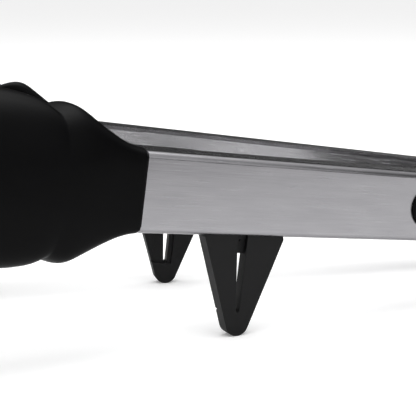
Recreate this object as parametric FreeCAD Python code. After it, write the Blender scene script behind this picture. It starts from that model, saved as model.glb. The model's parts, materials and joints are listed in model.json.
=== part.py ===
import FreeCAD, Part
import math
import os
from FreeCAD import Vector

# Spring loaded kitchen tongs, lying on their side on two V feet, open as the spring holds them.
# Millimetres and degrees. Each arm is drawn in its own frame: X is the distance r from the hinge
# axis towards the head, Y is the distance w outwards from the hinge plane, Z is along the hinge.

# Opening
open_angle = 6.5            # each arm, from the middle plane
closed_angle = 0.6          # each arm, with the head covers meeting
stop_gap = 0.1              # ear heel to the other arm's web, when open

# Arm channel
sheet = 1.0
bend_radius = 1.75
web_w = 10.4
hinge_half_height = 8.2
sleeve_half_height = 10.0
edge_w = 0.1                # flange's free edge
edge_w_at_head = -1.7       # the flange is deeper beside the head
tail_r = -17.0
sleeve_r = 218.0
arm_end_r = 231.0
arm_end_inset = 0.9         # the pressed step that the cover's sleeve fills
step_length = 0.6
deep_flange_r = (199.5, 202.0)
tail_corner_radius = 3.0

# Hinge ears
ear_blend_r = (5.0, 12.0)
inner_ear_half_height = 6.6
joggle_r = (13.5, 18.0)
pin_radius = 2.4
running_clearance = 0.05
pin_head_radius = 4.6
pin_head_height = 1.1
pin_head_round = 0.9
ear_air = 0.1
rivet_washer_thickness = 0.6
rivet_washer_radius = 5.2
ear_washer_radius = 5.0
ear_washer_thickness = 0.5

# Head: stations of the cover's outside as (r, half height, outer w, squareness)
rim_gap = 0.15              # each cover's rim to the middle plane, when closed
head_stations = (
    (218.0, 10.4, 10.7, 7.0),
    (221.5, 10.9, 10.9, 6.5),
    (225.0, 12.5, 11.3, 5.2),
    (230.0, 15.8, 12.0, 3.9),
    (235.0, 19.0, 12.6, 3.2),
    (240.0, 20.6, 13.0, 2.8),
    (247.0, 21.3, 13.3, 2.6),
    (254.0, 21.9, 13.2, 2.5),
    (262.0, 22.1, 12.6, 2.4),
    (271.0, 20.9, 11.0, 2.4),
    (279.0, 19.0, 8.7, 2.3),
    (286.0, 16.0, 5.9, 2.3),
    (291.5, 12.2, 3.2, 2.3),
    (295.8, 7.6, 0.6, 2.3),
)
section_points = 21
neck_clear = (223.0, 13.4)  # where the scalloped outline starts, outside the neck
# Scalloped outline: arcs as (middle point, end point), each (r, half height)
lobe_arcs = (
    ((236.5, 19.8), (243.0, 18.6)),
    ((246.0, 20.0), (249.5, 20.7)),
    ((257.0, 21.3), (264.5, 20.7)),
    ((268.8, 19.7), (272.0, 18.1)),
    ((279.6, 17.5), (285.6, 13.9)),
)
head_tip_r = 295.3
cover_skin = 1.2
core_sheet = 1.2
cover_lining = 1.0
core_outline_inset = 1.4
hollow_start_r = 234.0
hollow_end_r = 290.5
core_start_r = 231.4
core_end_r = 292.5
tang_start_r = 211.0
tang_clearance = 0.1
head_rivet_radius = 1.5
head_rivet_r = (221.5, 227.0)
head_rivet_head_radius = 2.6
head_rivet_head_height = 0.5
arm_end_relief = 0.2
cover_start_gap = 0.05

# Foot
foot_r = 188.8
foot_width = 22.4
foot_height = 25.8
foot_thickness = 4.0
foot_outer_w = 9.3
foot_tip_radius = 3.2
foot_tip_lean = -0.9        # the tip stands nearer the hinge than the foot's middle
foot_corner = 0.6
slot_half_width = 1.5
slot_end_half_width = 0.5
slot_lean = 0.8
slot_end_above_tip = 6.0
slot_end_share = 0.5        # of the tip's lean, at the slot's closed end
flange_bite = 0.3           # drawn into the flange, then cut to it
bridge_top = 0.45
bridge_bottom = 4.6
bridge_w = (7.0, 8.0)
notch_half_width = 0.85
notch_depth = 1.7
relief_half_width = 3.0     # the shallow pocket behind the slot
relief_depth = 0.8
relief_below_flange = 1.05
foot_neck_half = (6.4, 1.0)
foot_catch_half = (7.6, 1.7)
foot_catch_height = 1.4

# Soft grip
grip_r = (8.0, 139.9)
grip_half_width = 5.65
grip_proud = 1.3
grip_edge_round = 0.8
window_r = (56.0, 134.1)
window_half_width = 3.8
grip_lip = 1.4
grip_lip_thickness = 1.2

# Torsion spring and its sleeve
spring_wire_radius = 0.8
spring_mean_radius = 5.1
spring_turns = 3
spring_pitch = 1.7
spring_start_z = -3.9
spring_leg_angle = 7.8      # leg to its arm's web
spring_leg_length = 25.0
sleeve_radius = 4.0
sleeve_z = (-5.5, 2.8)

# Pull lock: a flat bar on the pivot pin, with fingers that hook outside a stud on each arm
lock_travel = 8.0
bar_z = (3.3, 5.1)
bar_slot_half_width = 2.6
bar_eye_half_width = 5.0
bar_eye_wall = 3.4
bar_shank_half_width = 1.9
finger_y = (4.9, 7.1)
finger_length = 7.0
cross_length = 4.0
stud_r = 48.0
stud_w = 3.0
stud_radius = 1.0
stud_head_radius = 1.9
stud_head_height = 0.6
finger_reach = 3.0          # a finger's end past its stud, when locked
bar_tail_x = 24.0
bar_tail_half_width = 3.2
loop_x = 31.5
loop_outer_radius = 11.5
loop_hole_radius = 7.0
loop_half_thickness = 2.5
loop_round = 1.2
loop_neck_x = 19.6
loop_neck_half_width = 5.6

# Drawing aids
beyond = 30.0               # past anything on an arm, for cutting blocks
overcut = 1.0               # a cutter passes a face by this
tail_block_length = 60.0
web_cut_margin = 0.5
row_margin = 2.0            # no head station is nearer than this to the end of a loft
foot_neck_rise = 0.4        # the neck's top over the flange, inside the catch
bridge_half_length = 4.0
tang_overlap = 3.0
tang_corner_radius = 1.2
match = 0.01                # an edge this near a plane lies in it
parallel = 0.99

origin = Vector(0, 0, 0)
y_axis = Vector(0, 1, 0)
z_axis = Vector(0, 0, 1)


def half_height(r):
    """Half of the channel's height at r: it tapers evenly from the head to the hinge."""
    return hinge_half_height + (sleeve_half_height - hinge_half_height) * r / sleeve_r


def ear_reach():
    """How far an ear passes the hinge plane so that its heel meets the other web when open."""
    turn = math.radians(2 * open_angle)
    heel = web_w - sheet - stop_gap - tail_corner_radius
    heel -= (-tail_r - tail_corner_radius) * math.sin(turn)
    return tail_corner_radius + heel / math.cos(turn)


def polygon(points):
    return Part.makePolygon(points + [points[0]])


def prism(wire, direction):
    return Part.Face(wire).extrude(direction)


def box(low, high):
    size = [high[i] - low[i] for i in range(3)]
    return Part.makeBox(size[0], size[1], size[2], Vector(*low))


def rod(radius, low_z, high_z, x=0.0, y=0.0):
    return Part.makeCylinder(radius, high_z - low_z, Vector(x, y, low_z), z_axis)


def arc(start, middle, end):
    return Part.Arc(start, middle, end).toShape()


def line(start, end):
    return Part.LineSegment(start, end).toShape()


def stadium(r_low, r_high, radius, w_low, w_high):
    """A round-ended bar along r, from one w to another."""
    low = r_low + radius
    high = r_high - radius
    edges = [
        line(Vector(low, w_low, radius), Vector(high, w_low, radius)),
        arc(Vector(high, w_low, radius), Vector(r_high, w_low, 0), Vector(high, w_low, -radius)),
        line(Vector(high, w_low, -radius), Vector(low, w_low, -radius)),
        arc(Vector(low, w_low, -radius), Vector(r_low, w_low, 0), Vector(low, w_low, radius)),
    ]
    return prism(Part.Wire(edges), Vector(0, w_high - w_low, 0))


# Arms

def channel_section(r, half, web, edge):
    """The U of the channel at r, with its bends."""
    inner = bend_radius - sheet
    near = half - bend_radius
    flat = web - bend_radius
    mid_out = flat + bend_radius * math.sqrt(0.5)
    mid_in = flat + inner * math.sqrt(0.5)
    high_out = near + bend_radius * math.sqrt(0.5)
    high_in = near + inner * math.sqrt(0.5)

    def point(w, z):
        return Vector(r, w, z)

    edges = [
        line(point(edge, half), point(flat, half)),
        arc(point(flat, half), point(mid_out, high_out), point(web, near)),
        line(point(web, near), point(web, -near)),
        arc(point(web, -near), point(mid_out, -high_out), point(flat, -half)),
        line(point(flat, -half), point(edge, -half)),
        line(point(edge, -half), point(edge, sheet - half)),
        line(point(edge, sheet - half), point(flat, sheet - half)),
        arc(point(flat, sheet - half), point(mid_in, -high_in), point(web - sheet, -near)),
        line(point(web - sheet, -near), point(web - sheet, near)),
        arc(point(web - sheet, near), point(mid_in, high_in), point(flat, half - sheet)),
        line(point(flat, half - sheet), point(edge, half - sheet)),
        line(point(edge, half - sheet), point(edge, half)),
    ]
    return Part.Wire(edges)


def channel_rows(joggled):
    """Stations along the arm as (r, half height, web w, edge w)."""
    reach = -ear_reach()
    rows = []
    if joggled:
        rows.append((tail_r, inner_ear_half_height, web_w, reach))
        rows.append((ear_blend_r[0], inner_ear_half_height, web_w, reach))
        rows.append((ear_blend_r[1], inner_ear_half_height, web_w, edge_w))
        rows.append((joggle_r[0], inner_ear_half_height, web_w, edge_w))
        rows.append((joggle_r[1], half_height(joggle_r[1]), web_w, edge_w))
    else:
        rows.append((tail_r, half_height(tail_r), web_w, reach))
        rows.append((ear_blend_r[0], half_height(ear_blend_r[0]), web_w, reach))
        rows.append((ear_blend_r[1], half_height(ear_blend_r[1]), web_w, edge_w))
    rows.append((deep_flange_r[0], half_height(deep_flange_r[0]), web_w, edge_w))
    rows.append((deep_flange_r[1], half_height(deep_flange_r[1]), web_w, edge_w_at_head))
    rows.append((sleeve_r, sleeve_half_height, web_w, edge_w_at_head))
    small = sleeve_half_height - arm_end_inset
    small_web = web_w - arm_end_inset
    small_edge = edge_w_at_head + arm_end_inset
    rows.append((sleeve_r + step_length, small, small_web, small_edge))
    rows.append((arm_end_r, small, small_web, small_edge))
    return rows


def tail_rounding():
    """The block whose corners round the tail, seen along the hinge."""
    reach = ear_reach()
    block = box((tail_r, -reach, -beyond), (tail_r + tail_block_length, web_w, beyond))
    corners = []
    for edge in block.Edges:
        along = edge.tangentAt(edge.FirstParameter)
        at_tail = abs(edge.CenterOfMass.x - tail_r) < match
        if abs(along.z) > parallel and at_tail:
            corners.append(edge)
    block = block.makeFillet(tail_corner_radius, corners)
    rest_r = tail_r + tail_block_length / 2
    rest = box((rest_r, -beyond, -beyond), (arm_end_r + overcut, beyond, beyond))
    return block.fuse(rest)


def arm(joggled):
    wires = [channel_section(*row) for row in channel_rows(joggled)]
    shape = Part.makeLoft(wires, True, True)
    shape = shape.common(tail_rounding())
    shape = shape.cut(rod(pin_radius + running_clearance, -beyond, beyond))
    shape = shape.cut(rod(stud_radius, -beyond, beyond, stud_r, stud_w))
    shape = shape.cut(grip_window())
    shape = shape.cut(foot_neck())
    for r in head_rivet_r:
        shape = shape.cut(head_rivet_shank(r))
    return shape.removeSplitter()


# Foot

def foot_touch(corner, centre, side):
    """Where the line from a top corner meets the round tip."""
    along = centre - corner
    swing = math.asin(foot_tip_radius / along.Length)
    along.normalize()
    outward = Vector(-side * along.z, 0, side * along.x)
    return centre + (outward * math.cos(swing) - along * math.sin(swing)) * foot_tip_radius


def foot_outline():
    """The V of the foot: straight sides tangent to a round tip, small corners at the top."""
    top = -half_height(foot_r)
    centre = Vector(foot_r + foot_tip_lean, 0, top - foot_height + foot_tip_radius)
    tip = centre - Vector(0, 0, foot_tip_radius)
    head_corner = Vector(foot_r + foot_width / 2, 0, top - foot_corner)
    tail_corner = Vector(foot_r - foot_width / 2, 0, top - foot_corner)
    head_touch = foot_touch(head_corner, centre, 1)
    tail_touch = foot_touch(tail_corner, centre, -1)
    head_top = head_corner + Vector(-foot_corner / 2, 0, foot_corner + flange_bite)
    tail_top = tail_corner + Vector(foot_corner / 2, 0, foot_corner + flange_bite)
    edges = [
        line(head_top, head_corner),
        line(head_corner, head_touch),
        arc(head_touch, tip, tail_touch),
        line(tail_touch, tail_corner),
        line(tail_corner, tail_top),
        line(tail_top, head_top),
    ]
    return Part.Wire(edges)


def foot_slot():
    """The tapered slot between the legs, open at the top, and the bridge left across it."""
    top = -half_height(foot_r)
    low = top - foot_height + slot_end_above_tip
    mouth = foot_r + slot_lean
    end = foot_r + foot_tip_lean * slot_end_share
    outline = polygon([
        Vector(mouth - slot_half_width, 0, top + overcut),
        Vector(mouth + slot_half_width, 0, top + overcut),
        Vector(end + slot_end_half_width, 0, low + slot_end_half_width),
        Vector(end, 0, low),
        Vector(end - slot_end_half_width, 0, low + slot_end_half_width),
    ])
    slot = prism(outline, Vector(0, beyond, 0))
    bridge = box((mouth - bridge_half_length, bridge_w[0], top - bridge_bottom),
                 (mouth + bridge_half_length, bridge_w[1], top - bridge_top))
    notch = polygon([
        Vector(mouth - notch_half_width, 0, top),
        Vector(mouth + notch_half_width, 0, top),
        Vector(mouth, 0, top - notch_depth),
    ])
    return slot.cut(bridge.cut(prism(notch, Vector(0, beyond, 0))))


def foot_relief():
    """The pocket that thins the foot along its slot, on the side towards the other arm."""
    top = -half_height(foot_r) - relief_below_flange
    low = -half_height(foot_r) - foot_height + slot_end_above_tip
    middle = foot_r + slot_lean
    inner = foot_outer_w - foot_thickness
    return box((middle - relief_half_width, inner - overcut, low),
               (middle + relief_half_width, inner + relief_depth, top))


def foot_middle_w():
    return foot_outer_w - foot_thickness / 2


def foot_neck():
    """The neck that stands in the flange's slot."""
    half_r, half_w = foot_neck_half
    w = foot_middle_w()
    outside = -half_height(foot_r)
    return box((foot_r - half_r, w - half_w, outside - overcut),
               (foot_r + half_r, w + half_w, outside + sheet + foot_neck_rise))


def foot(arm_shape):
    """A moulded V with its neck through the flange and a catch above it."""
    plate = prism(foot_outline(), Vector(0, foot_thickness, 0))
    plate.translate(Vector(0, foot_outer_w - foot_thickness, 0))
    plate = plate.cut([foot_slot(), foot_relief()])
    half_r, half_w = foot_catch_half
    w = foot_middle_w()
    seat = -half_height(foot_r) + sheet
    catch = box((foot_r - half_r, w - half_w, seat),
                (foot_r + half_r, w + half_w, seat + foot_catch_height))
    shape = plate.fuse([foot_neck(), catch]).cut(arm_shape)
    return biggest_solid(shape.removeSplitter())


def biggest_solid(shape):
    return max(shape.Solids, key=lambda solid: solid.Volume)


# Head

def station(r):
    """Half height, outer w and squareness of the cover's outside at r."""
    for low, high in zip(head_stations, head_stations[1:]):
        if low[0] <= r <= high[0]:
            share = (r - low[0]) / (high[0] - low[0])
            return [a + (b - a) * share for a, b in zip(low[1:], high[1:])]
    raise ValueError("r is past the head")


def rim(r):
    """The w of the cover's rim: along the middle plane when the tongs are closed."""
    return rim_gap - r * math.tan(math.radians(closed_angle))


def head_section(r, skin, lift):
    """The D of the head at r, its outside moved in by skin, its open side lifted off the rim."""
    half, outer, square = station(r)
    edge = rim(r) + lift
    half -= skin
    deep = outer - skin - edge
    power = 2 / square
    points = []
    for i in range(section_points):
        turn = math.pi * i / (section_points - 1)
        side = math.cos(turn)
        out = max(math.sin(turn), 0.0)
        z = half * math.copysign(abs(side) ** power, side)
        points.append(Vector(r, edge + deep * out ** power, z))
    curve = Part.BSplineCurve()
    curve.interpolate(points)
    return Part.Wire([curve.toShape(), line(points[-1], points[0])])


def head_loft(r_low, r_high, skin, lift):
    inner_rows = [row[0] for row in head_stations if r_low + row_margin < row[0] < r_high - row_margin]
    rows = [r_low] + inner_rows + [r_high]
    return Part.makeLoft([head_section(r, skin, lift) for r in rows], True, False)


def scalloped_block(inset):
    """The head's lobed outline as a block along w."""
    def point(r, z, side):
        return Vector(r, -beyond, side * (z - inset))

    edges = []
    start = neck_clear
    for middle, end in lobe_arcs:
        edges.append(arc(point(*start, 1), point(*middle, 1), point(*end, 1)))
        start = end
    tip = Vector(head_tip_r - inset, -beyond, 0)
    edges.append(arc(point(*start, 1), tip, point(*start, -1)))
    back = [neck_clear] + [end for middle, end in lobe_arcs]
    for i in range(len(lobe_arcs) - 1, -1, -1):
        middle = lobe_arcs[i][0]
        edges.append(arc(point(*back[i + 1], -1), point(*middle, -1), point(*back[i], -1)))
    low = point(sleeve_r - beyond, neck_clear[1], -1)
    high = point(sleeve_r - beyond, neck_clear[1], 1)
    edges.append(line(point(*neck_clear, -1), low))
    edges.append(line(low, high))
    edges.append(line(high, point(*neck_clear, 1)))
    return prism(Part.Wire(edges), Vector(0, 2 * beyond, 0))


def arm_end_block(clearance):
    """The outside of the arm's stepped end, with the channel filled."""
    half = sleeve_half_height - arm_end_inset
    web = web_w - arm_end_inset
    edge = edge_w_at_head + arm_end_inset
    start_r = sleeve_r - overcut
    return channel_outline(start_r, half, web, edge).extrude(Vector(arm_end_r + clearance - start_r, 0, 0))


def channel_outline(r, half, web, edge):
    """The face inside the channel's outer line at r."""
    flat = web - bend_radius
    near = half - bend_radius
    mid = bend_radius * math.sqrt(0.5)
    edges = [
        line(Vector(r, edge, half), Vector(r, flat, half)),
        arc(Vector(r, flat, half), Vector(r, flat + mid, near + mid), Vector(r, web, near)),
        line(Vector(r, web, near), Vector(r, web, -near)),
        arc(Vector(r, web, -near), Vector(r, flat + mid, -near - mid), Vector(r, flat, -half)),
        line(Vector(r, flat, -half), Vector(r, edge, -half)),
        line(Vector(r, edge, -half), Vector(r, edge, half)),
    ]
    return Part.Face(Part.Wire(edges))


def head_core():
    """A moulded spoon inside the cover, with a tang that fills the arm's end."""
    shell = head_loft(core_start_r, core_end_r, cover_skin, cover_skin)
    inside = head_loft(hollow_start_r - cover_lining, hollow_end_r + cover_lining,
                       cover_skin + core_sheet, -overcut)
    shell = shell.cut(inside)
    shell = shell.common(scalloped_block(core_outline_inset))
    half = sleeve_half_height - arm_end_inset - sheet - tang_clearance
    web = web_w - arm_end_inset - sheet - tang_clearance
    edge = edge_w_at_head + arm_end_inset
    tang = box((tang_start_r, edge, -half), (core_start_r + tang_overlap, web, half))
    long_edges = []
    for side in tang.Edges:
        along = side.tangentAt(side.FirstParameter)
        if abs(along.x) > parallel and side.CenterOfMass.y > web - match:
            long_edges.append(side)
    tang = tang.makeFillet(tang_corner_radius, long_edges)
    shape = shell.fuse(tang)
    for r in head_rivet_r:
        shape = shape.cut(head_rivet_shank(r))
    return biggest_solid(shape.removeSplitter())


def head_rivet_shank(r):
    low = edge_w_at_head + arm_end_inset + head_rivet_head_height
    high = web_w - arm_end_inset
    return Part.makeCylinder(head_rivet_radius, high - low, Vector(r, low, 0), y_axis)


def head_rivets():
    """Two rivets through the web and the tang."""
    solids = []
    for r in head_rivet_r:
        seat = Vector(r, web_w - arm_end_inset, 0)
        head = Part.makeCylinder(head_rivet_head_radius, head_rivet_head_height, seat, y_axis)
        solids.append(head_rivet_shank(r).fuse(head).removeSplitter())
    return Part.makeCompound(solids)


def head_cover(arm_shape, core, rivets):
    """The soft scalloped cover: a skin outside the core, a lining inside it and a sleeve."""
    wall = cover_skin + core_sheet + cover_lining
    shape = head_loft(sleeve_r + cover_start_gap, head_stations[-1][0], 0, 0)
    shape = shape.common(scalloped_block(0))
    shape = shape.cut(head_loft(hollow_start_r, hollow_end_r, wall, -2 * overcut))
    for solid in (arm_end_block(arm_end_relief), arm_shape, core, rivets):
        shape = shape.cut(solid)
    return biggest_solid(shape)


# Grip

def grip_window():
    low = web_w - sheet - web_cut_margin
    return stadium(window_r[0], window_r[1], window_half_width, low, web_w + web_cut_margin)


def grip():
    """A soft pad on the web, its plug through the web's window and its lip behind."""
    pad = stadium(grip_r[0], grip_r[1], grip_half_width, web_w, web_w + grip_proud)
    outer = [edge for edge in pad.Edges if edge.CenterOfMass.y > web_w + grip_proud - match]
    pad = pad.makeFillet(grip_edge_round, outer)
    plug = stadium(window_r[0], window_r[1], window_half_width, web_w - sheet, web_w)
    lip = stadium(window_r[0] - grip_lip, window_r[1] + grip_lip, window_half_width + grip_lip,
                  web_w - sheet - grip_lip_thickness, web_w - sheet)
    return pad.fuse([plug, lip]).removeSplitter()


# Hinge and spring

def pin_head(seat, side):
    """A head with a rounded outer rim, standing up or down from its seat."""
    end = seat + side * pin_head_height
    head = rod(pin_head_radius, min(seat, end), max(seat, end))
    rims = [edge for edge in head.Edges if edge.Closed and abs(edge.CenterOfMass.z - end) < match]
    return head.makeFillet(pin_head_round, rims)


def pivot_pin():
    """A headed pin, formed over the washer at its upper end."""
    low = -hinge_half_height - ear_air
    high = hinge_half_height + ear_air + rivet_washer_thickness
    return rod(pin_radius, low, high).fuse([pin_head(low, -1), pin_head(high, 1)]).removeSplitter()


def ring(inner, outer, low, high):
    return rod(outer, low, high).cut(rod(inner, low - overcut, high + overcut))


def rivet_washer():
    low = hinge_half_height + ear_air
    return ring(pin_radius, rivet_washer_radius, low, low + rivet_washer_thickness)


def ear_washers():
    """One flat washer between each pair of ears."""
    gap = hinge_half_height - sheet - inner_ear_half_height
    air = (gap - ear_washer_thickness) / 2
    low = inner_ear_half_height + air
    upper = ring(pin_radius + running_clearance, ear_washer_radius, low, low + ear_washer_thickness)
    lower = upper.mirror(origin, z_axis)
    return Part.makeCompound([upper, lower])


def spring_sleeve():
    return ring(pin_radius + running_clearance, sleeve_radius, *sleeve_z)


def torsion_spring():
    """Coils round the sleeve with one straight leg along each web."""
    leg = math.radians(open_angle + spring_leg_angle)
    start_turn = leg - math.pi / 2
    sweep = math.pi - 2 * leg + 2 * math.pi * spring_turns
    rise = spring_pitch * sweep / (2 * math.pi)
    helix = Part.makeHelix(spring_pitch, rise, spring_mean_radius)
    helix.rotate(origin, z_axis, math.degrees(start_turn))
    helix.translate(Vector(0, 0, spring_start_z))
    climb = spring_pitch / (2 * math.pi * spring_mean_radius)

    def coil_point(turn, z):
        return Vector(spring_mean_radius * math.cos(turn), spring_mean_radius * math.sin(turn), z)

    def tangent(turn):
        return Vector(-math.sin(turn), math.cos(turn), climb)

    first = coil_point(start_turn, spring_start_z)
    last = coil_point(start_turn + sweep, spring_start_z + rise)
    front_end = first - tangent(start_turn) * spring_leg_length
    rear_end = last + tangent(start_turn + sweep) * spring_leg_length
    edges = [line(front_end, first)] + helix.Edges + [line(last, rear_end)]
    path = Part.Wire(Part.__sortEdges__(edges))
    direction = tangent(start_turn)
    profile = Part.Wire([Part.makeCircle(spring_wire_radius, front_end, direction)])
    return path.makePipeShell([profile], True, True)


# Pull lock

def lock_bar():
    """The flat bar, in its pushed-in place: eye, shank, fingers and the tail in the loop."""
    low, high = bar_z
    slot_head = -bar_slot_half_width - lock_travel
    slot_tail = bar_slot_half_width
    finger_tail = -stud_r + finger_reach - lock_travel
    cross_head = finger_tail - finger_length - cross_length
    eye = box((slot_head - bar_eye_wall, -bar_eye_half_width, low),
              (slot_tail + bar_eye_wall, bar_eye_half_width, high))
    shank = box((cross_head, -bar_shank_half_width, low), (slot_head, bar_shank_half_width, high))
    tail = box((slot_tail, -bar_tail_half_width, low), (bar_tail_x, bar_tail_half_width, high))
    cross = box((cross_head, -finger_y[1], low), (cross_head + cross_length, finger_y[1], high))
    fingers = []
    for side in (-1, 1):
        y = sorted((side * finger_y[0], side * finger_y[1]))
        fingers.append(box((cross_head, y[0], low), (finger_tail, y[1], high)))
    shape = eye.fuse([shank, tail, cross] + fingers).removeSplitter()
    under = low - overcut
    over = high + overcut
    slot = box((-lock_travel, -bar_slot_half_width, under), (0, bar_slot_half_width, over))
    slot = slot.fuse([rod(bar_slot_half_width, under, over, x) for x in (-lock_travel, 0)])
    return shape.cut(slot).removeSplitter()


def pull_loop(bar):
    """The moulded loop that is pulled to lock and that hangs on a hook."""
    middle = sum(bar_z) / 2
    low = middle - loop_half_thickness
    high = middle + loop_half_thickness
    disc = rod(loop_outer_radius, low, high, loop_x)
    neck = box((loop_neck_x, -loop_neck_half_width, low), (loop_x, loop_neck_half_width, high))
    shape = disc.fuse(neck).removeSplitter()
    flat_edges = []
    for edge in shape.Edges:
        z = edge.CenterOfMass.z
        if min(abs(z - low), abs(z - high)) < match:
            flat_edges.append(edge)
    shape = shape.makeFillet(loop_round, flat_edges)
    shape = shape.cut(rod(loop_hole_radius, low - overcut, high + overcut, loop_x))
    return shape.cut(bar)


def lock_stud():
    """A stud riveted across the channel, for the lock's finger."""
    seat = half_height(stud_r + stud_head_radius)
    top = seat + stud_head_height
    shank = rod(stud_radius, -seat, seat, stud_r, stud_w)
    heads = [rod(stud_head_radius, seat, top, stud_r, stud_w),
             rod(stud_head_radius, -top, -seat, stud_r, stud_w)]
    return shank.fuse(heads).removeSplitter()


# Placing

def pitch_angle():
    """The tilt at which the foot tips and the tail's lower corner stand on one level."""
    turn = math.radians(open_angle)
    tip_r = foot_r + foot_tip_lean
    tip_x = -tip_r * math.cos(turn) + foot_middle_w() * math.sin(turn)
    tip_z = -half_height(foot_r) - foot_height + foot_tip_radius
    corner = tail_corner_radius
    tail_x = (-tail_r - corner) * math.cos(turn) + (web_w - corner) * math.sin(turn) + corner
    tail_z = -half_height(tail_r)
    run = tail_x - tip_x
    drop = tail_z - tip_z
    return math.degrees(math.atan2(drop, run) + math.asin(foot_tip_radius / math.hypot(run, drop)))


def on_arm(shape, side):
    """From an arm's own frame to the level tongs: side -1 is the front arm, +1 the rear one."""
    moved = shape.copy()
    moved.rotate(origin, z_axis, 180 + open_angle)
    if side > 0:
        moved = moved.mirror(origin, y_axis)
    return moved


def build():
    """Every sub-part in the level frame of the tongs: hinge on Z, heads towards -X."""
    parts = {}
    core = head_core()
    rivets = head_rivets()
    cover = head_cover(arm(joggled=False), core, rivets)
    for name, side in (("front", -1), ("rear", 1)):
        channel = arm(joggled=name == "front")
        pieces = {
            "arm": channel,
            "head_core": core,
            "head_rivets": rivets,
            "head_cover": cover,
            "foot": foot(channel),
            "grip": grip(),
            "lock_stud": lock_stud(),
        }
        for piece, shape in pieces.items():
            parts[name + "_" + piece] = on_arm(shape, side)
    parts["pivot_pin"] = pivot_pin()
    parts["rivet_washer"] = rivet_washer()
    parts["ear_washers"] = ear_washers()
    parts["spring_sleeve"] = spring_sleeve()
    parts["torsion_spring"] = torsion_spring()
    parts["lock_bar"] = lock_bar()
    parts["pull_loop"] = pull_loop(parts["lock_bar"])
    return parts


def stand(parts):
    """Tilts the tongs onto their feet and centres the footprint on the origin."""
    pitch = pitch_angle()
    for shape in parts.values():
        shape.rotate(origin, Vector(0, 1, 0), pitch)
    bounds = FreeCAD.BoundBox()
    for shape in parts.values():
        bounds.add(shape.optimalBoundingBox(False, False))
    shift = Vector(-(bounds.XMin + bounds.XMax) / 2, 0, -bounds.ZMin)
    for shape in parts.values():
        shape.translate(shift)
    print("pitch", round(pitch, 4))
    print("hinge point", [round(value, 4) for value in shift])
    print("size", [round(v, 2) for v in (bounds.XLength, bounds.YLength, bounds.ZLength)])


def main():
    os.makedirs("parts", exist_ok=True)
    parts = build()
    stand(parts)
    for name, shape in parts.items():
        solids = len(shape.Solids)
        print(name, "solids", solids, "volume", round(shape.Volume, 1), "valid", shape.isValid())
        shape.exportStep("parts/" + name + ".step")


main()
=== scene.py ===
import json
import math
import bmesh
import bpy
from mathutils import Matrix, Vector


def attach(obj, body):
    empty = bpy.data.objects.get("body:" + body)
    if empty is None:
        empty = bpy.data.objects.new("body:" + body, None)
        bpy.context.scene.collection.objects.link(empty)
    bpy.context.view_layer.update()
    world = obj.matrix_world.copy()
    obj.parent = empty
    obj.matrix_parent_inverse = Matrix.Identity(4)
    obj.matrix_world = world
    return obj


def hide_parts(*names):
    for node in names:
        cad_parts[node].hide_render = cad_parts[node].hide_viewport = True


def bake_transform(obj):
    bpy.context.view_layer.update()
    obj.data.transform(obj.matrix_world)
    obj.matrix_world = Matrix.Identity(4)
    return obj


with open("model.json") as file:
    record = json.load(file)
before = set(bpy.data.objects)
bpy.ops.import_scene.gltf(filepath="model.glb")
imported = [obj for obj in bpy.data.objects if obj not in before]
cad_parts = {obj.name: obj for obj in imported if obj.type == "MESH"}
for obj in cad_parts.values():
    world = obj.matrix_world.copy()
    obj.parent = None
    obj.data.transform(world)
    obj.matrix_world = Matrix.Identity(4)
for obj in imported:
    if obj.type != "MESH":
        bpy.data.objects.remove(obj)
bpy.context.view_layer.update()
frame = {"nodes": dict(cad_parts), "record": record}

print("frame loaded,", len(frame["nodes"]), "nodes")

# how the tongs lie: each arm has its own directions, X to the head, Y outwards, Z along the hinge
lie = {
    "openAngle": math.radians(6.5),
    "pitch": math.radians(7.6997),    # the heads are raised by the feet
}
joints = frame["record"]["behaviour"]["joints"]
hingeJoint = [joint for joint in joints if joint["name"] == "front_arm_swing"][0]
hingePoint = Vector(hingeJoint["pos_m"])
sides = {"front": -1, "rear": 1}
millimetre = 0.001


def levelMatrix():
    # millimetres about the hinge, level, to the scene's metres
    scale = Matrix.Scale(millimetre, 4)
    return Matrix.Translation(hingePoint) @ Matrix.Rotation(lie["pitch"], 4, "Y") @ scale


def armMatrix(side):
    level = Matrix.Rotation(math.pi + lie["openAngle"], 4, "Z")
    if side > 0:
        level = Matrix.Scale(-1, 4, (0, 1, 0)) @ level
    return levelMatrix() @ level


def armTurn(side):
    # the arm's turn alone, for patterns that run along it
    turn = Matrix.Rotation(lie["pitch"], 3, "Y") @ Matrix.Rotation(math.pi - side * lie["openAngle"], 3, "Z")
    return turn.to_euler()


# camera, lights and floor
view = {
    "place": (-0.17298, -0.30803, 0.09114),
    "azimuth": math.radians(19.97),
    "elevation": math.radians(11.03),
    "roll": math.radians(-0.2),
    "lens": 105.98,
    "sensor": 36,
    "nearest": 0.01,
}


def makeCamera():
    data = bpy.data.cameras.new("camera")
    data.lens = view["lens"]
    data.sensor_width = view["sensor"]
    data.clip_start = view["nearest"]
    camera = bpy.data.objects.new("camera", data)
    bpy.context.collection.objects.link(camera)
    around = Matrix.Rotation(-view["azimuth"], 4, "Z")
    tilt = Matrix.Rotation(math.pi / 2 - view["elevation"], 4, "X")
    roll = Matrix.Rotation(view["roll"], 4, "Z")
    camera.matrix_world = Matrix.Translation(view["place"]) @ (around @ tilt) @ roll
    bpy.context.scene.camera = camera
    print("camera placed")


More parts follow.
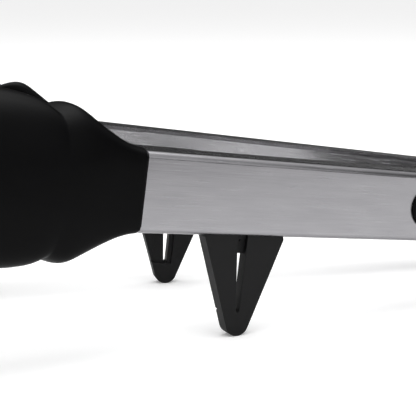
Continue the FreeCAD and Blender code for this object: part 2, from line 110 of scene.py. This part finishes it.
studio = {
    "lamps": {
        "key": {"place": (-0.05, -0.10, 0.95), "aim": (-0.02, 0, 0.03), "size": 0.9, "power": 6.0},
        "fill": {"place": (0.35, -0.75, 0.40), "aim": (0.00, 0, 0.04), "size": 0.6, "power": 0.6},
        "back": {"place": (-0.05, 0.50, 0.95), "aim": (0, 0, 0.03), "size": 0.8, "power": 1.2},
    },
    "horizon": 0.01,      # how bright the room is low down, overhead and in front
    "overhead": 1.35,
    "front": 0.75,
    "lowest": 0.45,       # heights at which it begins and ends to brighten
    "highest": 0.95,
    "aside": -0.6,        # and how far round to the front
    "ahead": -0.95,
    "floorReach": 4,
    "floorRough": 0.9,
    "floorShine": 0.1,
    "floor": 0.97,        # the floor is pale under the tongs and dark in front, where the steel mirrors it
    "floorFront": 0.10,
    "pale": -0.20,        # where along Y each begins
    "dark": -0.36,
    "floorGlow": 0.22,    # what the camera sees added to it, under the tongs and in front
    "frontGlow": 1,
}


def makeLamps():
    for name, lamp in studio["lamps"].items():
        data = bpy.data.lights.new(name, "AREA")
        data.shape = "SQUARE"
        data.size = lamp["size"]
        data.energy = lamp["power"]
        light = bpy.data.objects.new(name, data)
        bpy.context.collection.objects.link(light)
        toward = Vector(lamp["aim"]) - Vector(lamp["place"])
        turn = toward.to_track_quat("-Z", "Y").to_matrix().to_4x4()
        light.matrix_world = Matrix.Translation(lamp["place"]) @ turn
    print("lamps placed")


def makeRoom():
    # bright overhead and in front, dim near the horizon, and white where the camera looks straight at it
    world = bpy.data.worlds.new("room")
    world.use_nodes = True
    tree = world.node_tree
    shine = tree.nodes["Background"]
    plain = tree.nodes.new("ShaderNodeBackground")
    plain.inputs["Color"].default_value = (1, 1, 1, 1)
    place = tree.nodes.new("ShaderNodeTexCoord")
    split = tree.nodes.new("ShaderNodeSeparateXYZ")
    climb = between(tree, split.outputs["Z"], studio["horizon"], studio["overhead"], studio["lowest"],
                    studio["highest"])
    front = between(tree, split.outputs["Y"], studio["front"], studio["horizon"], studio["ahead"],
                    studio["aside"])
    brighter = tree.nodes.new("ShaderNodeMath")
    brighter.operation = "MAXIMUM"
    path = tree.nodes.new("ShaderNodeLightPath")
    mix = tree.nodes.new("ShaderNodeMixShader")
    tree.links.new(place.outputs["Generated"], split.inputs[0])
    tree.links.new(climb, brighter.inputs[0])
    tree.links.new(front, brighter.inputs[1])
    tree.links.new(brighter.outputs[0], shine.inputs["Strength"])
    shine.inputs["Color"].default_value = (1, 1, 1, 1)
    tree.links.new(path.outputs["Is Camera Ray"], mix.inputs[0])
    tree.links.new(shine.outputs[0], mix.inputs[1])
    tree.links.new(plain.outputs[0], mix.inputs[2])
    tree.links.new(mix.outputs[0], tree.nodes["World Output"].inputs["Surface"])
    bpy.context.scene.world = world
    bpy.context.scene.view_settings.view_transform = "Standard"
    print("room made")


def makeFloor():
    shape = bmesh.new()
    bmesh.ops.create_grid(shape, x_segments=1, y_segments=1, size=studio["floorReach"])
    mesh = bpy.data.meshes.new("floor")
    shape.to_mesh(mesh)
    shape.free()
    floor = bpy.data.objects.new("floor", mesh)
    bpy.context.collection.objects.link(floor)
    material = bpy.data.materials.new("paleFloor")
    material.use_nodes = True
    shader = material.node_tree.nodes["Principled BSDF"]
    tree = material.node_tree
    place = tree.nodes.new("ShaderNodeTexCoord")
    split = tree.nodes.new("ShaderNodeSeparateXYZ")
    tree.links.new(place.outputs["Object"], split.inputs[0])
    shade = between(tree, split.outputs["Y"], studio["floorFront"], studio["floor"], studio["dark"],
                    studio["pale"])
    tree.links.new(shade, shader.inputs["Base Color"])
    shader.inputs["Roughness"].default_value = studio["floorRough"]
    shader.inputs["Specular IOR Level"].default_value = studio["floorShine"]
    shader.inputs["Emission Color"].default_value = (1, 1, 1, 1)
    # the glow whitens the floor as it is seen, and lights nothing on it
    path = tree.nodes.new("ShaderNodeLightPath")
    glow = tree.nodes.new("ShaderNodeMath")
    glow.operation = "MULTIPLY"
    tree.links.new(path.outputs["Is Camera Ray"], glow.inputs[0])
    strength = between(tree, split.outputs["Y"], studio["frontGlow"], studio["floorGlow"], studio["dark"],
                       studio["pale"])
    tree.links.new(strength, glow.inputs[1])
    tree.links.new(glow.outputs[0], shader.inputs["Emission Strength"])
    mesh.materials.append(material)
    print("floor laid")


# finishes
steelLook = {
    "dark": (0.285, 0.280, 0.294),        # the brushed outside: the steel's colour, darkened as painted shade
    "light": (0.375, 0.370, 0.384),
    "paintedLitInsideDark": (0.84, 0.835, 0.85),    # the channel's inside: the same steel painted much lighter, as painted light
    "paintedLitInsideLight": (0.92, 0.915, 0.93),
    "channelMiddle": 4.3,                 # millimetres outwards from the line through the hinge
    "cloudShare": 0.35,
    "fineDetail": 4,
    "streakAlong": 0.009,                 # metres: how long and how fine the brushing is
    "streakAcross": 0.00030,
    "cloudAlong": 0.014,
    "cloudAcross": 0.0022,
    "roughLow": 0.19,
    "roughHigh": 0.28,
    "depth": 0.000005,
}


# a noise keeps mostly between these two, so its darkest and lightest are set there
noiseDark = 0.3
noiseLight = 0.7


def newMaterial(name):
    material = bpy.data.materials.new(name)
    material.use_nodes = True
    tree = material.node_tree
    return material, tree, tree.nodes["Principled BSDF"]


def objectPlace(tree, turn, size):
    # Object coordinates turned onto the piece, then divided by the pattern's size each way
    place = tree.nodes.new("ShaderNodeTexCoord")
    mapping = tree.nodes.new("ShaderNodeMapping")
    mapping.vector_type = "TEXTURE"
    mapping.inputs["Rotation"].default_value = turn
    mapping.inputs["Scale"].default_value = size
    tree.links.new(place.outputs["Object"], mapping.inputs["Vector"])
    return mapping.outputs["Vector"]


def noise(tree, place, detail=3, rough=0.5):
    pattern = tree.nodes.new("ShaderNodeTexNoise")
    pattern.inputs["Scale"].default_value = 1
    pattern.inputs["Detail"].default_value = detail
    pattern.inputs["Roughness"].default_value = rough
    tree.links.new(place, pattern.inputs["Vector"])
    return pattern.outputs["Fac"]


def between(tree, value, low, high, start=noiseDark, end=noiseLight):
    spread = tree.nodes.new("ShaderNodeMapRange")
    spread.inputs["From Min"].default_value = start
    spread.inputs["From Max"].default_value = end
    spread.inputs["To Min"].default_value = low
    spread.inputs["To Max"].default_value = high
    tree.links.new(value, spread.inputs["Value"])
    return spread.outputs["Result"]


def blendColours(tree, value, dark, light):
    ramp = tree.nodes.new("ShaderNodeValToRGB")
    ramp.color_ramp.elements[0].position = noiseDark
    ramp.color_ramp.elements[0].color = (*dark, 1)
    ramp.color_ramp.elements[1].position = noiseLight
    ramp.color_ramp.elements[1].color = (*light, 1)
    tree.links.new(value, ramp.inputs["Fac"])
    return ramp.outputs["Color"]


def addBump(tree, shader, value, depth):
    bump = tree.nodes.new("ShaderNodeBump")
    bump.inputs["Distance"].default_value = depth
    tree.links.new(value, bump.inputs["Height"])
    tree.links.new(bump.outputs["Normal"], shader.inputs["Normal"])


def brushedSteel(name, turn):
    look = steelLook
    material, tree, shader = newMaterial(name)
    streakSize = (look["streakAlong"], look["streakAcross"], look["streakAcross"])
    cloudSize = (look["cloudAlong"], look["cloudAcross"], look["cloudAcross"])
    fine = noise(tree, objectPlace(tree, turn, streakSize), look["fineDetail"])
    cloud = noise(tree, objectPlace(tree, turn, cloudSize))
    shader.inputs["Metallic"].default_value = 1
    mixed = tree.nodes.new("ShaderNodeMath")
    mixed.operation = "MULTIPLY_ADD"
    mixed.inputs[1].default_value = look["cloudShare"]
    tree.links.new(cloud, mixed.inputs[0])
    scaled = tree.nodes.new("ShaderNodeMath")
    scaled.operation = "MULTIPLY"
    scaled.inputs[1].default_value = 1 - look["cloudShare"]
    tree.links.new(fine, scaled.inputs[0])
    tree.links.new(scaled.outputs[0], mixed.inputs[2])
    # faces marked inside get the much lighter copy of the steel as painted light, the others the darker copy
    # as painted shade
    mark = tree.nodes.new("ShaderNodeAttribute")
    mark.attribute_name = "inside"
    blend = tree.nodes.new("ShaderNodeMix")
    blend.data_type = "RGBA"
    tree.links.new(mark.outputs["Fac"], blend.inputs[0])
    outside = blendColours(tree, mixed.outputs[0], look["dark"], look["light"])
    inside = blendColours(tree, mixed.outputs[0], look["paintedLitInsideDark"], look["paintedLitInsideLight"])
    tree.links.new(outside, blend.inputs[6])
    tree.links.new(inside, blend.inputs[7])
    tree.links.new(blend.outputs[2], shader.inputs["Base Color"])
    tree.links.new(between(tree, fine, look["roughLow"], look["roughHigh"]), shader.inputs["Roughness"])
    addBump(tree, shader, fine, look["depth"])
    return material


def mouldedRubber(name, look):
    # a matt moulding: fine grain, and a faint cloudiness where it has been handled
    material, tree, shader = newMaterial(name)
    level = (0, 0, 0)
    grain = noise(tree, objectPlace(tree, level, (look["grain"],) * 3), rough=look["grainRough"])
    cloud = noise(tree, objectPlace(tree, level, (look["cloud"],) * 3))
    tree.links.new(blendColours(tree, cloud, look["dark"], look["light"]), shader.inputs["Base Color"])
    tree.links.new(between(tree, cloud, look["roughLow"], look["roughHigh"]), shader.inputs["Roughness"])
    shader.inputs["Specular IOR Level"].default_value = look["gloss"]
    addBump(tree, shader, grain, look["depth"])
    return material


rubberLooks = {
    "silicone": {
        "dark": (0.0010, 0.0010, 0.0012), "light": (0.0018, 0.0018, 0.0021),
        "grain": 0.00035, "grainRough": 0.6, "cloud": 0.014,
        "roughLow": 0.36, "roughHigh": 0.45, "gloss": 0.07, "depth": 0.000012,
    },
    "nylon": {
        "dark": (0.0045, 0.0045, 0.0048), "light": (0.0065, 0.0065, 0.0069),
        "grain": 0.00030, "grainRough": 0.6, "cloud": 0.008,
        "roughLow": 0.46, "roughHigh": 0.58, "gloss": 0.20, "depth": 0.000020,
    },
    "soft_grip": {
        "dark": (0.0016, 0.0016, 0.0018), "light": (0.0028, 0.0028, 0.0030),
        "grain": 0.00045, "grainRough": 0.6, "cloud": 0.010,
        "roughLow": 0.60, "roughHigh": 0.72, "gloss": 0.14, "depth": 0.000030,
    },
}


metalLooks = {
    "rivet_steel": {"dark": (0.46, 0.46, 0.47), "light": (0.60, 0.60, 0.61)},
    "spring_steel": {"dark": (0.32, 0.32, 0.33), "light": (0.48, 0.48, 0.49)},
}
satinLook = {
    "speck": 0.0007,
    "speckRough": 0.6,
    "roughLow": 0.22,
    "roughHigh": 0.40,
    "depth": 0.000006,
}


def satinMetal(name, colours):
    look = satinLook
    material, tree, shader = newMaterial(name)
    speck = noise(tree, objectPlace(tree, (0, 0, 0), (look["speck"],) * 3), rough=look["speckRough"])
    shader.inputs["Metallic"].default_value = 1
    tree.links.new(blendColours(tree, speck, colours["dark"], colours["light"]), shader.inputs["Base Color"])
    tree.links.new(between(tree, speck, look["roughLow"], look["roughHigh"]), shader.inputs["Roughness"])
    addBump(tree, shader, speck, look["depth"])
    return material


# pieces
def finishPiece(name, shape, matrix, body, material, nodes):
    # places the bmesh in the scene and hands it to its body
    bmesh.ops.transform(shape, matrix=matrix, verts=shape.verts)
    bmesh.ops.recalc_face_normals(shape, faces=shape.faces)
    mesh = bpy.data.meshes.new(name)
    shape.to_mesh(mesh)
    shape.free()
    mesh.shade_smooth()
    mesh.materials.append(material)
    piece = bpy.data.objects.new(name, mesh)
    bpy.context.collection.objects.link(piece)
    if body:
        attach(piece, body)
    if nodes:
        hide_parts(*nodes)
    return piece


def addSubdivision(piece, levels):
    smooth = piece.modifiers.new("smooth", "SUBSURF")
    smooth.levels = levels
    smooth.render_levels = levels


softLook = {
    "weld": 2e-7,                        # metres
    "flatAngle": math.radians(0.6),      # facets closer to flat than this are joined
    "edgeAngle": math.radians(32),       # edges sharper than this are broken
    "profile": 0.5,
    # metres of width taken off the edges of each kind of piece
    "arm": 0.00014,
    "foot": 0.00035,
    "grip": 0.00020,
    "stud": 0.00012,
    "rivet": 0.00010,
    "washer": 0.00008,
    "moulding": 0.00015,
}


def softened(node, name, kind, body, material):
    # a copy of the node's shape with its hard edges broken
    source = bpy.data.objects[node]
    shape = bmesh.new()
    shape.from_mesh(source.data)
    bmesh.ops.remove_doubles(shape, verts=shape.verts, dist=softLook["weld"])
    bmesh.ops.dissolve_limit(shape, angle_limit=softLook["flatAngle"], verts=shape.verts, edges=shape.edges)
    hard = []
    for edge in shape.edges:
        if len(edge.link_faces) == 2 and edge.calc_face_angle(0) > softLook["edgeAngle"]:
            hard.append(edge)
    bmesh.ops.bevel(shape, geom=hard, offset=softLook[kind], offset_type="OFFSET", affect="EDGES", segments=2,
                    profile=softLook["profile"], clamp_overlap=True, material=-1)
    piece = finishPiece(name, shape, Matrix.Identity(4), body, material, [node])
    even = piece.modifiers.new("even", "WEIGHTED_NORMAL")
    even.keep_sharp = True
    return piece


# the heads: a closed section at each distance r from the hinge, wrapped from a grid
headLook = {
    # r, half height, outer w, squareness
    "stations": ((218, 10.4, 10.7, 7.0), (221.5, 10.9, 10.9, 6.5), (225, 12.5, 11.3, 5.2),
                 (230, 15.8, 12.0, 3.9), (235, 19.0, 12.6, 3.2), (240, 20.6, 13.0, 2.8),
                 (247, 21.3, 13.3, 2.6), (254, 21.9, 13.2, 2.5), (262, 22.1, 12.6, 2.4),
                 (271, 20.9, 11.0, 2.4), (279, 19.0, 8.7, 2.3), (286, 16.0, 5.9, 2.3),
                 (291.5, 12.2, 3.2, 2.3), (295.8, 7.6, 0.6, 2.3)),
    # the lobed outline: middle and end of each arc, as (r, half height)
    "outlineStart": (223, 13.4),
    "arcs": (((235.8, 19.6), (243, 17.4)), ((246, 20.0), (249.5, 20.7)), ((257, 21.3), (264.5, 20.7)),
             ((268.8, 19.7), (272, 18.1)), ((279.6, 17.5), (285.6, 13.9))),
    "tip": 295.3,
    "rimAngle": math.radians(0.6),
    "rimGap": 0.15,
    "notches": (243, 272, 285.6),
    "edgeEase": 12,
    "notchDip": 0.70,
    "notchWidth": 1.3,
    "notchFade": 2.5,           # how soon a notch's dip dies away from the edge of the outline
    "slant": 4.5,               # how far the creases lean back over the outside
    "slantRows": ((230, 0), (243, 1), (272, 1), (292, 0)),
    "wall": 3.4,
    "hollowMiddle": 262.25,
    "hollowReach": 28.25,
    "hollowSquare": 3,          # how the hollow opens from its two ends, and how wide it is there
    "hollowEase": 0.45,
    "hollowNarrow": 0.4,
    "sleeveStart": 218.05,
    "sleeveEnd": 231.2,
    "sleeveSquare": 7,
    "lipBack": 0.6,
    "lipShrink": 0.97,
    "armHalf": 9.1,
    "armWeb": 9.5,
    "armEdge": -0.8,
    "outPoints": 28,
    "inPoints": 22,
    "lipPoints": 3,
    # where the rings stand along a lobe, closer together towards its two ends
    "lobeShares": (0, 0.035, 0.1, 0.22, 0.38, 0.54, 0.7, 0.82, 0.92, 0.972),
    "weld": 0.002,
    "coreSkin": 1.3,
    "coreSheet": 1.0,
    "coreGap": 0.3,             # from the arm's end
    "coreTip": 0.99,            # of the skin, left in front of the core
    "tang": {"start": 211, "end": 234.4, "low": -0.8, "high": 8.4, "half": 8.0, "corner": 1.2},
}


def headStation(r):
    rows = headLook["stations"]
    for low, high in zip(rows, rows[1:]):
        if r <= high[0]:
            share = (r - low[0]) / (high[0] - low[0])
            return [a + (b - a) * share for a, b in zip(low[1:], high[1:])]
    return list(rows[-1][1:])


def throughThree(r, first, middle, last):
    # a smooth curve through three points of the outline
    total = 0
    points = (first, middle, last)
    for one in points:
        share = one[1]
        for other in points:
            if other is not one:
                share *= (r - other[0]) / (one[0] - other[0])
        total += share
    return total


def outlineHalf(r):
    # the lobed outline, never wider than the plain head under it
    half = headStation(r)[0]
    start = headLook["outlineStart"]
    if r < start[0]:
        return half
    for middle, end in headLook["arcs"]:
        if r <= end[0]:
            return min(half, throughThree(r, start, middle, end))
        start = end
    across = headLook["tip"] - start[0]
    radius = (start[1] ** 2 + across ** 2) / (2 * across)
    along = r - (headLook["tip"] - radius)
    return math.sqrt(max(radius ** 2 - along ** 2, 0))


def slantAt(r):
    rows = headLook["slantRows"]
    if r <= rows[0][0]:
        return 0
    for low, high in zip(rows, rows[1:]):
        if r <= high[0]:
            share = (r - low[0]) / (high[0] - low[0])
            return headLook["slant"] * (low[1] + (high[1] - low[1]) * share)
    return 0


def rimAt(r):
    return headLook["rimGap"] - r * math.tan(headLook["rimAngle"])


def signedPower(value, power):
    return math.copysign(abs(value) ** power, value)


def softLimit(value):
    # follows a small value, and eases towards 1
    ease = headLook["edgeEase"]
    return value / (1 + value ** ease) ** (1 / ease)


def headSide(aside, power, plain, half):
    # the plain head's curve, eased into the lobed outline and exactly as wide as it at the rim
    if half <= 0:
        return 0
    reach = plain / half
    share = softLimit(abs(signedPower(aside, power)) * reach) / softLimit(reach)
    return math.copysign(half * share, aside)


def headSection(r, skin, wall):
    # outside from one rim to the other, then the lip and the hollow back again
    outer, square = headStation(r)[1:]
    half = max(outlineHalf(r) - skin, 0)
    edge = rimAt(r) + skin
    deep = outer - skin - edge
    power = 2 / square
    dip = sum(math.exp(-((r - notch) / headLook["notchWidth"]) ** 2) for notch in headLook["notches"])
    points = []
    for i in range(headLook["outPoints"] + 1):
        turn = math.pi * i / headLook["outPoints"]
        aside = math.cos(turn)
        out = max(math.sin(turn), 0) ** power
        drop = headLook["notchDip"] * dip * abs(aside) ** headLook["notchFade"] * out
        back = r - slantAt(r) * out
        plain, leanOuter = headStation(back)[:2]
        w = edge + (leanOuter - skin - edge) * out - drop
        points.append(Vector((back, w, headSide(aside, power, plain - skin, half))))
    share = min(abs(r - headLook["hollowMiddle"]) / headLook["hollowReach"], 1)
    openness = (1 - share ** headLook["hollowSquare"]) ** headLook["hollowEase"]
    narrow = headLook["hollowNarrow"]
    innerHalf = max(half - wall, 0) * (narrow + (1 - narrow) * openness)
    innerDeep = max(deep - wall, 0) * openness
    lip = headLook["lipPoints"]
    for i in range(1, lip):
        z = -half + (half - innerHalf) * i / lip
        points.append(Vector((r, edge, z)))
    for i in range(headLook["inPoints"] + 1):
        turn = math.pi * (1 - i / headLook["inPoints"])
        out = max(math.sin(turn), 0) ** power
        points.append(Vector((r, edge + innerDeep * out, innerHalf * signedPower(math.cos(turn), power))))
    for i in range(1, lip):
        z = innerHalf + (half - innerHalf) * i / lip
        points.append(Vector((r, edge, z)))
    points.append(points[0].copy())
    return points


def sleeveMouth(r, shrink):
    # the arm's end, on the same count of points as a section of the head
    around = len(headSection(r, 0, headLook["wall"])) - 1
    flatCount = around - headLook["outPoints"]
    power = 2 / headLook["sleeveSquare"]
    half = headLook["armHalf"] * shrink
    middle = (headLook["armWeb"] + headLook["armEdge"]) / 2
    reach = headLook["armWeb"] - headLook["armEdge"]
    points = []
    for i in range(headLook["outPoints"] + 1):
        turn = math.pi * i / headLook["outPoints"]
        w = headLook["armEdge"] + reach * max(math.sin(turn), 0) ** power
        points.append(Vector((r, middle + (w - middle) * shrink, half * signedPower(math.cos(turn), power))))
    low = middle + (headLook["armEdge"] - middle) * shrink
    for i in range(1, flatCount):
        points.append(Vector((r, low, -half + 2 * half * i / flatCount)))
    points.append(points[0].copy())
    return points


def wrapGrid(shape, rows):
    # a grid whose every line across is moved onto one closed row of points
    along = len(rows) - 1
    around = len(rows[0]) - 1
    bmesh.ops.create_grid(shape, x_segments=along, y_segments=around, size=1)
    for vert in shape.verts:
        i = round((vert.co.x + 1) / 2 * along)
        j = round((vert.co.y + 1) / 2 * around)
        vert.co = rows[i][j]
    bmesh.ops.remove_doubles(shape, verts=shape.verts, dist=headLook["weld"])


def headRows(skin, wall, start):
    ends = [start, *headLook["notches"], headLook["tip"]]
    distances = []
    for low, high in zip(ends, ends[1:]):
        distances += [low + (high - low) * share for share in headLook["lobeShares"]]
    distances = [r for r in distances if r < headLook["tip"] - skin]
    distances.append(headLook["tip"] - skin * headLook["coreTip"])
    return [headSection(r, skin, wall) for r in distances]


def makeHeadCover(name, side, material):
    shape = bmesh.new()
    rows = headRows(0, headLook["wall"], headLook["sleeveStart"])
    mouth = [
        sleeveMouth(headLook["sleeveEnd"], 0),
        sleeveMouth(headLook["sleeveEnd"], headLook["lipShrink"]),
        sleeveMouth(headLook["sleeveEnd"], 1),
        sleeveMouth(headLook["sleeveStart"] + headLook["lipBack"], 1),
        sleeveMouth(headLook["sleeveStart"], 1),
    ]
    wrapGrid(shape, mouth + [rows[0]] + rows)
    cover = finishPiece(name + "_silicone_cover", shape, armMatrix(side), name + "_side",
                        material, [name + "_head_cover"])
    addSubdivision(cover, 2)


def addTang(shape):
    # the block that fills the arm's end, its edges rounded to suit the channel
    tang = headLook["tang"]
    size = (tang["end"] - tang["start"], tang["high"] - tang["low"], 2 * tang["half"])
    middle = ((tang["end"] + tang["start"]) / 2, (tang["high"] + tang["low"]) / 2, 0)
    corners = bmesh.ops.create_cube(shape, size=1)["verts"]
    bmesh.ops.scale(shape, verts=corners, vec=size)
    bmesh.ops.translate(shape, verts=corners, vec=middle)
    edges = list({edge for corner in corners for edge in corner.link_edges})
    bmesh.ops.bevel(shape, geom=edges, offset=tang["corner"], affect="EDGES", segments=3,
                     profile=softLook["profile"], material=-1)


def makeHeadCore(name, side, material):
    shape = bmesh.new()
    rows = headRows(headLook["coreSkin"], headLook["coreSheet"], headLook["sleeveEnd"] + headLook["coreGap"])
    ends = []
    for row in (rows[0], rows[-1]):
        top = row[headLook["outPoints"] // 2]
        ends.append([Vector((row[0].x, (row[0].y + top.y) / 2, 0))] * len(row))
    wrapGrid(shape, [ends[0]] + rows + [ends[1]])
    addTang(shape)
    core = finishPiece(name + "_inner_spoon", shape, armMatrix(side), name + "_side", material,
                       [name + "_head_core"])
    addSubdivision(core, 1)


def makeHeads(finishes):
    for name, side in sides.items():
        makeHeadCover(name, side, finishes["silicone"])
        makeHeadCore(name, side, finishes["nylon"])
    print("heads wrapped")


def markInside(piece, side):
    # the faces that look towards the channel's middle, which get the steel painted lighter as painted light
    back = armMatrix(side).inverted()
    turn = back.to_3x3()
    inside = piece.data.attributes.new("inside", "FLOAT", "FACE")
    for face in piece.data.polygons:
        centre = back @ face.center
        normal = turn @ face.normal
        toward = normal.y * (centre.y - steelLook["channelMiddle"]) + normal.z * centre.z
        inside.data[face.index].value = 1 if toward < 0 else 0


# the node's name without its side: the piece's name, kind of edge and slot
armPieces = {
    "_foot": ("_v_foot", "foot", "nylon"),
    "_grip": ("_soft_grip", "grip", "soft_grip"),
    "_lock_stud": ("_stud", "stud", "rivet_steel"),
    "_head_rivets": ("_rivets", "rivet", "rivet_steel"),
}
# the node: the piece's name, kind of edge, body and slot
hingePieces = {
    "pivot_pin": ("hinge_pin", "rivet", "pivot", "rivet_steel"),
    "rivet_washer": ("pin_washer", "rivet", "pivot", "rivet_steel"),
    "ear_washers": ("spacer_washers", "washer", "pivot", "rivet_steel"),
    "spring_sleeve": ("moulded_sleeve", "moulding", "pivot", "nylon"),
    "lock_bar": ("sliding_bar", "moulding", "lock", "steel"),
    "pull_loop": ("hanging_loop", "grip", "lock", "soft_grip"),
}


def makeArmPieces(finishes):
    for name, side in sides.items():
        body = name + "_side"
        steel = brushedSteel(name + "_brushed_steel", armTurn(side))
        channel = softened(name + "_arm", name + "_channel_arm", "arm", body, steel)
        markInside(channel, side)
        for node, (piece, kind, slotName) in armPieces.items():
            softened(name + node, name + piece, kind, body, finishes[slotName])
    print("arms, feet and grips finished")


def makeHingePieces(finishes):
    plate = brushedSteel("lock_brushed_steel", (0, lie["pitch"], 0))
    materials = dict(finishes, steel=plate)
    for node, (piece, kind, body, slotName) in hingePieces.items():
        softened(node, piece, kind, body, materials[slotName])
    print("hinge and lock finished")


springLook = {
    "wire": 0.8,
    "mean": 5.1,
    "turns": 3,
    "pitch": 1.7,
    "startZ": -3.9,
    "legAngle": math.radians(7.8),
    "legLength": 25.0,
    "legSteps": 12,
    "stepsPerTurn": 36,
    "weld": 0.0005,
    "wirePoints": 14,
    "bendShare": 0.35,      # a share of the leg
}


def pulledFace(shape, face):
    grown = bmesh.ops.extrude_face_region(shape, geom=[face])
    bmesh.ops.delete(shape, geom=[face], context="FACES_ONLY")
    return [item for item in grown["geom"] if isinstance(item, bmesh.types.BMFace)][0]


def makeSpringHalf(name, side, material):
    # one half of the coils, with the leg that lies on one arm
    look = springLook
    leg = lie["openAngle"] + look["legAngle"]
    start = leg - math.pi / 2
    sweep = (math.pi - 2 * leg + 2 * math.pi * look["turns"]) / 2
    rise = look["pitch"] * sweep / (2 * math.pi)
    middleZ = look["startZ"] + rise
    first = Vector((look["mean"] * math.cos(start), look["mean"] * math.sin(start), look["startZ"]))
    climb = look["pitch"] / (2 * math.pi * look["mean"])
    tangent = Vector((-math.sin(start), math.cos(start), climb)).normalized()
    steps = round(look["stepsPerTurn"] * sweep / (2 * math.pi))
    shape = bmesh.new()
    ringTurn = Vector((0, 0, 1)).rotation_difference(tangent).to_matrix().to_4x4()
    tail = first - tangent * look["legLength"]
    ring = bmesh.ops.create_circle(shape, cap_ends=True, segments=look["wirePoints"], radius=look["wire"],
                                   matrix=Matrix.Translation(tail) @ ringTurn)["verts"]
    grown = ring[0].link_faces[0]
    for _ in range(look["legSteps"]):
        grown = pulledFace(shape, grown)
        bmesh.ops.translate(shape, verts=grown.verts, vec=tangent * look["legLength"] / look["legSteps"])
    bmesh.ops.spin(shape, geom=[grown], cent=(0, 0, 0), axis=(0, 0, 1), dvec=(0, 0, rise / steps),
                   angle=sweep, steps=steps, use_merge=False)
    bmesh.ops.delete(shape, geom=[grown], context="FACES_ONLY")
    bmesh.ops.remove_doubles(shape, verts=shape.verts, dist=look["weld"])
    # the first pull leaves the leg's end open
    bmesh.ops.holes_fill(shape, edges=[edge for edge in shape.edges if edge.is_boundary], sides=0)
    if side > 0:
        # the other half is this one turned over about the middle
        about = Matrix.Translation((0, 0, middleZ))
        turned = about @ Matrix.Rotation(math.pi, 4, "X") @ about.inverted()
        bmesh.ops.transform(shape, matrix=turned, verts=shape.verts)
        first = turned @ first
        tail = turned @ tail
    half = finishPiece(name + "_spring_half", shape, levelMatrix(), None, material,
                       ["torsion_spring"])
    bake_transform(half)


def makeSpring(material):
    for name, side in sides.items():
        makeSpringHalf(name, side, material)
    print("spring wound")


makeCamera()
makeLamps()
makeRoom()
makeFloor()
finishes = {name: mouldedRubber(name, look) for name, look in rubberLooks.items()}
for metalName, colours in metalLooks.items():
    finishes[metalName] = satinMetal(metalName, colours)
makeHeads(finishes)
makeArmPieces(finishes)
makeHingePieces(finishes)
makeSpring(finishes["spring_steel"])
